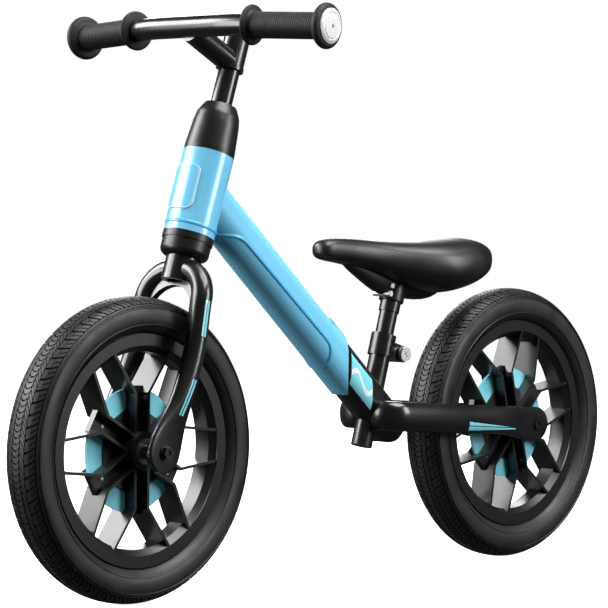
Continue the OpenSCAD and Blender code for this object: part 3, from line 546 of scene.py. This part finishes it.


# The band round the head cover takes the ridge's deeper blue, which is painted shade along its line.
band_low, band_high, band_proud, band_root, band_round = 0.2316, 0.2352, 0.0005, 0.001, 0.0008
band_outline = ((cover_radius - band_root, band_low - 0.0005), (cover_radius + 0.0001, band_low),
                (cover_radius + band_proud, band_low + band_round),
                (cover_radius + band_proud, band_high - band_round),
                (cover_radius + 0.0001, band_high), (cover_radius - band_root, band_high + 0.0005))
turned("head_cover_band", band_outline, steering_place, ridge_painted_shade_blue, "frame", None, True, 180)

badge, tree, shader = shader_for("badge_film", shell_blue, 0.22, Coat_Weight=0.5)
badge_half_width, badge_half_height, badge_corner, badge_middle = 0.0165, 0.0235, 0.007, 0.2695
line_width, line_blue = 0.0012, (0.42, 0.74, 0.86, 1.0)
height = calc(tree, "SUBTRACT", along_line(tree, steer_axis), steer_foot.dot(steer_axis) + badge_middle)
past_side = calc(tree, "SUBTRACT", off_middle(tree), badge_half_width - badge_corner)
past_side = calc(tree, "MAXIMUM", past_side)
past_end = calc(tree, "SUBTRACT", calc(tree, "ABSOLUTE", height), badge_half_height - badge_corner)
past_end = calc(tree, "MAXIMUM", past_end)
reach = calc(tree, "SQRT", calc(tree, "ADD", calc(tree, "MULTIPLY", past_side, past_side),
                                calc(tree, "MULTIPLY", past_end, past_end)))
printed(tree, shader, ((calc(tree, "GREATER_THAN", reach, badge_corner - line_width), line_blue),))
surface_of("head_badge", badge)

# ---- bearings, axles and bolts ---------------------------------------------------------------------
# Bright zinc steel makes the bearings, axles and clamp bolt, turned or pressed, and the axle bolts
# and spacers are blackened steel. The bearings are pushed in, and bolts hold the axles' ends.


def turned_steel(name, colour, low, high):
    """A bare steel whose roughness wanders between two values."""
    material, tree, shader = shader_for(name, colour, 0.3, Metallic=1.0)
    uneven_gloss(tree, shader, 260.0, 4.0, low, high)
    return material


steel = turned_steel("zinc_steel", (0.6, 0.61, 0.63), 0.2, 0.4)
bright_steel = turned_steel("bright_steel", (0.86, 0.87, 0.88), 0.34, 0.5)
black_steel = turned_steel("black_steel", (0.07, 0.07, 0.075), 0.22, 0.42)
for node in ("upper_cup", "crown_race", "lower_ball_ring", "upper_ball_ring", "upper_race", "lock_nut",
             "rear_axle", "front_axle", "expander_wedge", "expander_bolt",
             "front_hub_sleeve", "rear_hub_sleeve", "front_bearings", "rear_bearings"):
    surface_of(node, steel)
surface_of("seat_clamp_bolt", bright_steel)
for node in ("rear_axle_bolts", "rear_spacers", "front_axle_bolts", "front_spacers"):
    surface_of(node, black_steel)

# ---- tyres ---------------------------------------------------------------------------------------
# Each airless tyre is moulded in one piece: a soft rubber carcass with fine ribs at the shoulder
# and rows of separate tread blocks round its crown.

wheel_places = {"front_wheel": (joints["front_wheel_spin"]["pos_m"], math.radians(30)),
                "rear_wheel": (joints["rear_wheel_spin"]["pos_m"], math.radians(15))}
tyre_low, tyre_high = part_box("front_tyre")
tyre_radius, tyre_half = (tyre_high.z - tyre_low.z) / 2, (tyre_high.y - tyre_low.y) / 2
belly_radius = 0.133
belly_half = tyre_radius - belly_radius
fullness = 1 / 2.4
groove_depth = 0.0021
tread_pitches = 78
pitch = 2 * math.pi / tread_pitches


def on_tyre(turn, rise=0.0):
    """Radius and side distance of the tyre's outside, at an angle round its section from the crown."""
    c, s = math.cos(turn), math.sin(turn)
    out = math.copysign(abs(c) ** (2 * fullness), c)
    side = math.copysign(abs(s) ** (2 * fullness), s)
    normal = Vector((math.copysign(abs(out) ** 1.4 / belly_half, out),
                     math.copysign(abs(side) ** 1.4 / tyre_half, side))).normalized()
    return belly_radius + belly_half * out + rise * normal.x, tyre_half * side + rise * normal.y


def tread_block(shape, turns, ahead, lean, mirrored):
    """One block between two turns and two shares of the pitch; lean moves it ahead along its width."""
    made = bmesh.ops.create_grid(shape, x_segments=3, y_segments=2, size=0.5)["verts"]
    walls = bmesh.ops.extrude_face_region(shape, geom=list({f for v in made for f in v.link_faces}),
                                          use_keep_orig=True)["geom"]
    deep = [v for v in walls if isinstance(v, bmesh.types.BMVert)]
    for vert in made + deep:
        foot = vert in deep
        across = vert.co.x * (1.04 if foot else 0.96) + 0.5
        along = vert.co.y * (1.06 if foot else 0.94) + 0.5
        turn = math.radians(turns[0] + (turns[1] - turns[0]) * across)
        share = ahead[0] + (ahead[1] - ahead[0]) * along + lean(math.degrees(turn))
        radius, side = on_tyre(turn, -groove_depth * 1.2 if foot else 0.0)
        angle = pitch * (share + (0.5 if mirrored else 0.0))
        vert.co = (radius * math.cos(angle), -side if mirrored else side, radius * math.sin(angle))


def shoulder_lean(turn):
    """The share of the pitch by which a shoulder block is swept back, at a turn in degrees."""
    return 0.5 * max(0.0, (turn - 24) / 30) ** 1.6


def inner_lean(turn):
    """The same for the slanting blocks beside the crown."""
    return -0.75 * (turn - 10) / 12


def crown_lean(turn):
    """The same for the arrow shaped blocks on the crown."""
    return 0.35 * abs(turn) / 8.5


def tyre_mesh(name):
    """A tyre round the origin: one pitch of blocks copied round, and a carcass spun from its section."""
    shape = bmesh.new()
    for mirrored in (False, True):
        tread_block(shape, (24, 36), (0.05, 0.90), shoulder_lean, mirrored)
        tread_block(shape, (36, 54), (0.05, 0.44), shoulder_lean, mirrored)
        tread_block(shape, (36, 54), (0.52, 0.90), shoulder_lean, mirrored)
        tread_block(shape, (10, 22), (0.05, 0.46), inner_lean, mirrored)
        tread_block(shape, (10, 22), (0.54, 0.93), inner_lean, mirrored)
    tread_block(shape, (-8, 8), (0.05, 0.45), crown_lean, False)
    tread_block(shape, (-8, 8), (0.55, 0.93), crown_lean, False)
    bmesh.ops.spin(shape, geom=shape.verts[:] + shape.edges[:] + shape.faces[:], axis=(0, 1, 0),
                   cent=(0, 0, 0), angle=2 * math.pi - pitch, steps=tread_pitches - 1, use_duplicate=True)
    rib = 0.0008  # how far the fine rings on the side wall stand up
    outline = [(turn, -groove_depth) for turn in (0, 6, 12, 18, 24, 30, 36, 42, 48, 55)]
    outline += [(56.5, 0), (59, 0)]
    for start in (60, 64.5, 69):
        outline += [(start, 0), (start + 0.6, rib), (start + 1.8, rib), (start + 2.4, 0)]
    outline += [(turn, 0) for turn in (76, 82, 88, 94, 100, 106, 110)]
    outline += [(110.6, rib), (112.2, rib), (112.8, 0), (118, 0), (124, 0), (130, 0), (136, 0), (141, 0)]
    left = [on_tyre(math.radians(turn), rise) for turn, rise in outline]
    # the bead that grips the rim, as radius and side
    left += [(0.1162, 0.0131), (0.1158, 0.0127), (0.1035, 0.0127), (0.1035, 0.006)]
    loop = left + [(radius, -side) for radius, side in reversed(left[1:])]
    verts = [shape.verts.new((radius, side, 0)) for radius, side in loop]
    edges = [shape.edges.new((verts[i], verts[(i + 1) % len(verts)])) for i in range(len(verts))]
    bmesh.ops.spin(shape, geom=verts + edges, axis=(0, 1, 0), cent=(0, 0, 0), angle=2 * math.pi,
                   steps=156, use_merge=True)
    bmesh.ops.recalc_face_normals(shape, faces=shape.faces)
    shaded_smooth(shape, 32)
    return mesh_of(shape, name)


def placed_on_wheel(mesh, name, wheel, material, node):
    """A piece made round the origin, turned and moved to a wheel, standing for that wheel's CAD node."""
    place, turn = wheel_places[wheel]
    mesh.transform(Matrix.Translation(place) @ Matrix.Rotation(-turn, 4, "Y"))
    return fitted(name, mesh, material, wheel, node)


rubber, tree, shader = shader_for("tyre_rubber", (0.006, 0.006, 0.0063), 0.4, Specular_IOR_Level=0.5)
dust = uneven_gloss(tree, shader, 35.0, 6.0, 0.4, 0.62, 0.3, 0.7)
tint = node_with(tree, "ShaderNodeMix", {"Factor": dust.outputs["Fac"]}, data_type="RGBA")
tint.inputs["A"].default_value = (0.006, 0.006, 0.0064, 1.0)
tint.inputs["B"].default_value = (0.015, 0.015, 0.0155, 1.0)
tree.links.new(tint.outputs["Result"], shader.inputs["Base Color"])
fine_relief(tree, shader, "ShaderNodeTexNoise", 900.0, 0.12, 0.0004, Detail=2.0)
tyre_shape = tyre_mesh("tyre_shape")
for wheel, name in (("front_wheel", "front_tyre"), ("rear_wheel", "rear_tyre")):
    placed_on_wheel(tyre_shape.copy(), name + "_rubber", wheel, rubber, name)
bpy.data.meshes.remove(tyre_shape)

# ---- wheels ----------------------------------------------------------------------------------------
# Each rim is two glossy black mouldings screwed face to face round a clear blue disc, which lights
# up over twelve small lamps as the wheel turns.

rim_plastic, tree, shader = shader_for("rim_plastic", (0.004, 0.004, 0.0045), 0.36,
                                       Coat_Weight=0.25, Coat_Roughness=0.3)
uneven_gloss(tree, shader, 40.0, 4.0, 0.32, 0.42)
lit, tree, shader = shader_for("light_disc", (0.22, 0.7, 0.82), 0.22, Coat_Weight=0.4)
where = node_with(tree, "ShaderNodeTexCoord")
cloud = node_with(tree, "ShaderNodeTexNoise",
                  {"Vector": where.outputs["Object"], "Scale": 55.0, "Detail": 2.0})
tint = node_with(tree, "ShaderNodeMix", {"Factor": cloud.outputs["Fac"]}, data_type="RGBA")
tint.inputs["A"].default_value = (0.16, 0.62, 0.76, 1.0)
tint.inputs["B"].default_value = (0.32, 0.8, 0.9, 1.0)
tree.links.new(tint.outputs["Result"], shader.inputs["Base Color"])
lamp_lens = shader_for("lamp_lens", (0.7, 0.95, 1.0), 0.08, Coat_Weight=0.6)[0]
foam = shader_for("tyre_foam", (0.08, 0.08, 0.08), 0.9)[0]
for wheel in ("front_", "rear_"):
    surface_of(wheel + "tyre_core", foam)
    surface_of(wheel + "rim_left", rim_plastic)
    surface_of(wheel + "rim_right", rim_plastic)
    surface_of(wheel + "light_disc", lit)
    surface_of(wheel + "lamps", lamp_lens)

# ---- handlebar -------------------------------------------------------------------------------------
# A 22 mm steel tube, cut to length and bent back a little on each side, in the frame's black gloss
# enamel. Its ends are open inside the grips.

bar_place = steering_place @ Matrix.Translation((0.0654, 0, 0.4238))
bar_radius, bar_wall = 0.0111, 0.002
bar_flat, bar_sweep, bar_reach = 0.057, math.radians(7.5), 0.1200
bend_radius = 0.24
bend_cut = bend_radius * math.tan(bar_sweep / 2)

shape = bmesh.new()
for radius in (bar_radius, bar_radius - bar_wall):
    ring = bmesh.ops.create_circle(shape, segments=40, radius=radius,
                                   matrix=Matrix.Rotation(math.radians(90), 4, "X"))["verts"]
    edges = list({edge for vert in ring for edge in vert.link_edges})
    run = bmesh.ops.extrude_edge_only(shape, edges=edges)["geom"]
    verts = [item for item in run if isinstance(item, bmesh.types.BMVert)]
    edges = [item for item in run if isinstance(item, bmesh.types.BMEdge)]
    bmesh.ops.translate(shape, verts=verts, vec=(0, bar_flat - bend_cut, 0))
    run = bmesh.ops.spin(shape, geom=verts + edges, axis=(0, 0, 1), angle=bar_sweep, steps=14,
                         cent=(-bend_radius, bar_flat - bend_cut, 0))["geom_last"]
    edges = [item for item in run if isinstance(item, bmesh.types.BMEdge)]
    run = bmesh.ops.extrude_edge_only(shape, edges=edges)["geom"]
    verts = [item for item in run if isinstance(item, bmesh.types.BMVert)]
    along = Vector((-math.sin(bar_sweep), math.cos(bar_sweep), 0))
    bmesh.ops.translate(shape, verts=verts, vec=along * (bar_reach - bend_cut))
bmesh.ops.mirror(shape, geom=shape.verts[:] + shape.edges[:] + shape.faces[:], axis="Y", merge_dist=0.00001)
rims = [edge for edge in shape.edges if edge.is_boundary]
bmesh.ops.bridge_loops(shape, edges=[edge for edge in rims if edge.verts[0].co.y > 0])
bmesh.ops.bridge_loops(shape, edges=[edge for edge in rims if edge.verts[0].co.y < 0])
bmesh.ops.recalc_face_normals(shape, faces=shape.faces)
for face in shape.faces:
    face.smooth = len(face.verts) == 4
mesh = mesh_of(shape, "handlebar")
mesh.transform(bar_place)
fitted("handlebar", mesh, black_enamel, "handlebar", "handlebar_tube")

# ---- grips -----------------------------------------------------------------------------------------
# Soft moulded rubber sleeves with a thin safety flange inside and a fat round end outside, finely
# ringed where the hand holds them.

grip_rubber, tree, shader = shader_for("grip_rubber", (0.006, 0.0048, 0.0044), 0.62, Specular_IOR_Level=0.4)
uneven_gloss(tree, shader, 60.0, 5.0, 0.5, 0.7)
fine_relief(tree, shader, "ShaderNodeTexVoronoi", 900.0, 0.25, 0.0004)

grip_start, grip_end = 0.02403, 0.12003
grip_radius, flange_radius, knob_radius, knob_half = 0.01325, 0.0200, 0.0226, 0.0045
lip = 0.0018
outline = [(bar_radius, 0.0), (flange_radius - 0.0016, 0.0)]
for turn in (30, 60, 90, 120, 150):
    c, s = around(turn)
    outline.append((flange_radius - 0.0016 + lip * s, lip - lip * c))
outline += [(flange_radius - lip, 0.0036), (grip_radius + 0.0016, 0.0042), (grip_radius + 0.0004, 0.0056)]
first_ring, ring_count, ring_step, ring_depth = 0.0065, 31, 0.0026, 0.00035
for i in range(ring_count):
    low = first_ring + i * ring_step
    outline += [(grip_radius, low), (grip_radius, low + 0.0016), (grip_radius - ring_depth, low + 0.0019),
                (grip_radius - ring_depth, low + 0.0023)]
knob_middle = grip_end - grip_start - knob_half + 0.0002
outline += [(grip_radius + 0.0004, knob_middle - 0.0056), (grip_radius + 0.0022, knob_middle - 0.0047)]
for turn in range(0, 181, 20):
    c, s = around(turn)
    outline.append((knob_radius - knob_half + knob_half * s, knob_middle - knob_half * c))
knob_end, recess = knob_middle + knob_half, knob_middle + knob_half - 0.0022
outline += [(knob_radius - 0.0052, knob_end - 0.0002), (knob_radius - 0.0054, recess), (bar_radius, recess)]

silver, tree, shader = shader_for("plug_lacquer", (0.74, 0.75, 0.76), 0.24, Coat_Weight=0.5)
uneven_gloss(tree, shader, 700.0, 2.0, 0.18, 0.34)
plug_radius = knob_radius - 0.0053
plug_outline = [(0.0, 0.0005), (0.0019, 0.0005), (0.0022, 0.0036), (0.006, 0.0037), (0.0118, 0.0033),
                (0.0125, 0.0027), (0.0132, 0.0027), (0.0138, 0.0031), (plug_radius - 0.0018, 0.0027),
                (plug_radius, 0.0014), (plug_radius, -0.0021), (0.0, -0.0021)]
bar_end = Matrix.Translation((0, bar_flat, 0)) @ Matrix.Rotation(bar_sweep, 4, "Z")
swept = bar_end @ Matrix.Rotation(-math.pi / 2, 4, "X")
for side, flip in (("left", Matrix()), ("right", Matrix.Scale(-1, 4, (0, 1, 0)))):
    start = bar_place @ flip @ swept @ Matrix.Translation((0, 0, grip_start))
    turned("grip_" + side + "_rubber", outline, start, grip_rubber, "handlebar", "grip_" + side,
           True)
    end = bar_place @ flip @ swept @ Matrix.Translation((0, 0, grip_end))
    turned("bar_plug_" + side + "_cap", plug_outline, end, silver, "handlebar", "bar_plug_" + side)

# ---- saddle ----------------------------------------------------------------------------------------
# A firm moulded foam pad under a smooth satin black skin, turned down round a plastic base. The
# base takes the post in a socket, with two bolts across it.

cover_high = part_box("saddle_cover")[1]
nose_x, top_z = cover_high.x + 0.0005, cover_high.z
# behind the nose, half width, drop of the top, drop of the lower edge, how square the upper edge is
saddle_stations = (
    (0.0000, 0.0020, 0.0106, 0.0148, 2.0), (0.0006, 0.0056, 0.0076, 0.0176, 2.1),
    (0.0026, 0.0098, 0.0042, 0.0204, 2.2), (0.0072, 0.0132, 0.0012, 0.0228, 2.5),
    (0.0180, 0.0150, -0.0006, 0.0246, 2.7), (0.0360, 0.0168, -0.0006, 0.0270, 2.8),
    (0.0570, 0.0196, 0.0006, 0.0308, 2.8), (0.0790, 0.0252, 0.0020, 0.0362, 2.8),
    (0.0990, 0.0330, 0.0030, 0.0424, 2.8), (0.1190, 0.0418, 0.0030, 0.0490, 2.8),
    (0.1380, 0.0508, 0.0022, 0.0552, 2.8), (0.1560, 0.0578, 0.0008, 0.0596, 2.8),
    (0.1730, 0.0608, -0.0004, 0.0606, 2.8), (0.1890, 0.0616, -0.0012, 0.0584, 2.9),
    (0.2050, 0.0606, -0.0012, 0.0548, 2.9), (0.2180, 0.0582, 0.0000, 0.0496, 2.9),
    (0.2280, 0.0530, 0.0030, 0.0432, 2.8), (0.2330, 0.0430, 0.0080, 0.0360, 2.5))
saddle_sides, middle_share, lower_square, tuck_in = 32, 0.52, 3.2, 0.16


def saddle_ring(verts, station):
    """Moves a ring of points to the saddle's section at one station; the sides tuck in underneath."""
    behind, half, drop, low, square = station
    middle = drop + (low - drop) * middle_share
    for i, vert in enumerate(verts):
        angle = 2 * math.pi * i / saddle_sides
        c, s = math.cos(angle), math.sin(angle)
        power = 2 / square if s > 0 else 2 / lower_square
        side = half * math.copysign(abs(c) ** power, c)
        tuck = 1.0 if s > 0 else 1.0 - tuck_in * abs(s) ** 1.5
        height = (middle - drop) * abs(s) ** power if s > 0 else -(low - middle) * abs(s) ** power
        vert.co = (nose_x - behind, side * tuck, top_z - middle + height)


shape = bmesh.new()
ring = bmesh.ops.create_circle(shape, segments=saddle_sides, radius=0.01)["verts"]
saddle_ring(ring, saddle_stations[0])
edges = list({edge for vert in ring for edge in vert.link_edges})
bmesh.ops.contextual_create(shape, geom=edges)
for station in saddle_stations[1:]:
    ring, edges = next_ring(shape, ring, edges)
    saddle_ring(ring, station)
bmesh.ops.contextual_create(shape, geom=edges)
caps = [face for face in shape.faces if len(face.verts) > 4]
for face in caps:
    bmesh.ops.inset_individual(shape, faces=[face], thickness=0.003, depth=0.0)
bmesh.ops.recalc_face_normals(shape, faces=shape.faces)
for face in shape.faces:
    face.smooth = True
skin, tree, shader = shader_for("saddle_skin", (0.005, 0.005, 0.0054), 0.38,
                                Coat_Weight=0.15, Coat_Roughness=0.3)
uneven_gloss(tree, shader, 28.0, 5.0, 0.3, 0.48, 0.3, 0.7)
fine_relief(tree, shader, "ShaderNodeTexVoronoi", 620.0, 0.16, 0.0005)
saddle_pad = fitted("saddle_pad", mesh_of(shape, "saddle_pad"), skin, "saddle", "saddle_cover")
rounding = saddle_pad.modifiers.new("rounding", "SUBSURF")
rounding.levels = rounding.render_levels = 2

# The base moulding under the pad swells down round a socket for the post.
stations = []
# behind the nose, half width, drop of the top, drop of the foot, squareness
for behind, half, top, low, square in (
        (0.039, 0.0030, 0.0200, 0.0265, 2.0), (0.047, 0.0055, 0.0200, 0.0330, 2.2),
        (0.063, 0.0075, 0.0200, 0.0420, 2.4), (0.081, 0.0088, 0.0220, 0.0525, 2.5),
        (0.098, 0.0100, 0.0240, 0.0605, 2.6), (0.115, 0.0108, 0.0260, 0.0640, 2.6),
        (0.135, 0.0130, 0.0280, 0.0655, 2.6), (0.155, 0.0185, 0.0280, 0.0680, 2.6),
        (0.171, 0.0215, 0.0280, 0.0670, 2.6), (0.184, 0.0210, 0.0270, 0.0610, 2.5),
        (0.193, 0.0175, 0.0260, 0.0510, 2.3), (0.198, 0.0120, 0.0260, 0.0410, 2.0)):
    centre = (nose_x - behind, 0, top_z - (top + low) / 2)
    stations.append((centre, (-1, 0, 0), (0, 1, 0), half, (low - top) / 2, square))
base = lofted("saddle_base_moulding", stations, 32, cover_plastic, "saddle", "saddle_base")
rounding = base.modifiers.new("rounding", "SUBSURF")
rounding.levels = rounding.render_levels = 1

seat_foot, seat_lean = Vector((-0.0477, 0, 0.1376)), math.radians(16.5)
seat_place = Matrix.Translation(seat_foot) @ Matrix.Rotation(-seat_lean, 4, "Y")
socket_outline = ((0.0102, 0.161), (0.0130, 0.161), (0.0136, 0.1616), (0.0136, 0.182), (0.0130, 0.1835),
                  (0.0102, 0.1835))
turned("saddle_socket", socket_outline, seat_place, cover_plastic, "saddle", None, True)
bolt_radius, bolt_half, bolt_chamfer, bolt_behind = 0.0032, 0.0125, 0.0004, 0.0155
bolt_outline = ((0.0, -bolt_half), (bolt_radius - bolt_chamfer, -bolt_half),
                (bolt_radius, bolt_chamfer - bolt_half), (bolt_radius, bolt_half - bolt_chamfer),
                (bolt_radius - bolt_chamfer, bolt_half), (0.0, bolt_half))
for name, height, node in (("lower", 0.166, "saddle_bolts"), ("upper", 0.175, None)):
    across = seat_place @ Matrix.Translation((bolt_behind, 0, height)) @ Matrix.Rotation(-math.pi / 2, 4, "X")
    turned("saddle_bolt_" + name, bolt_outline, across, bright_steel, "saddle", node)
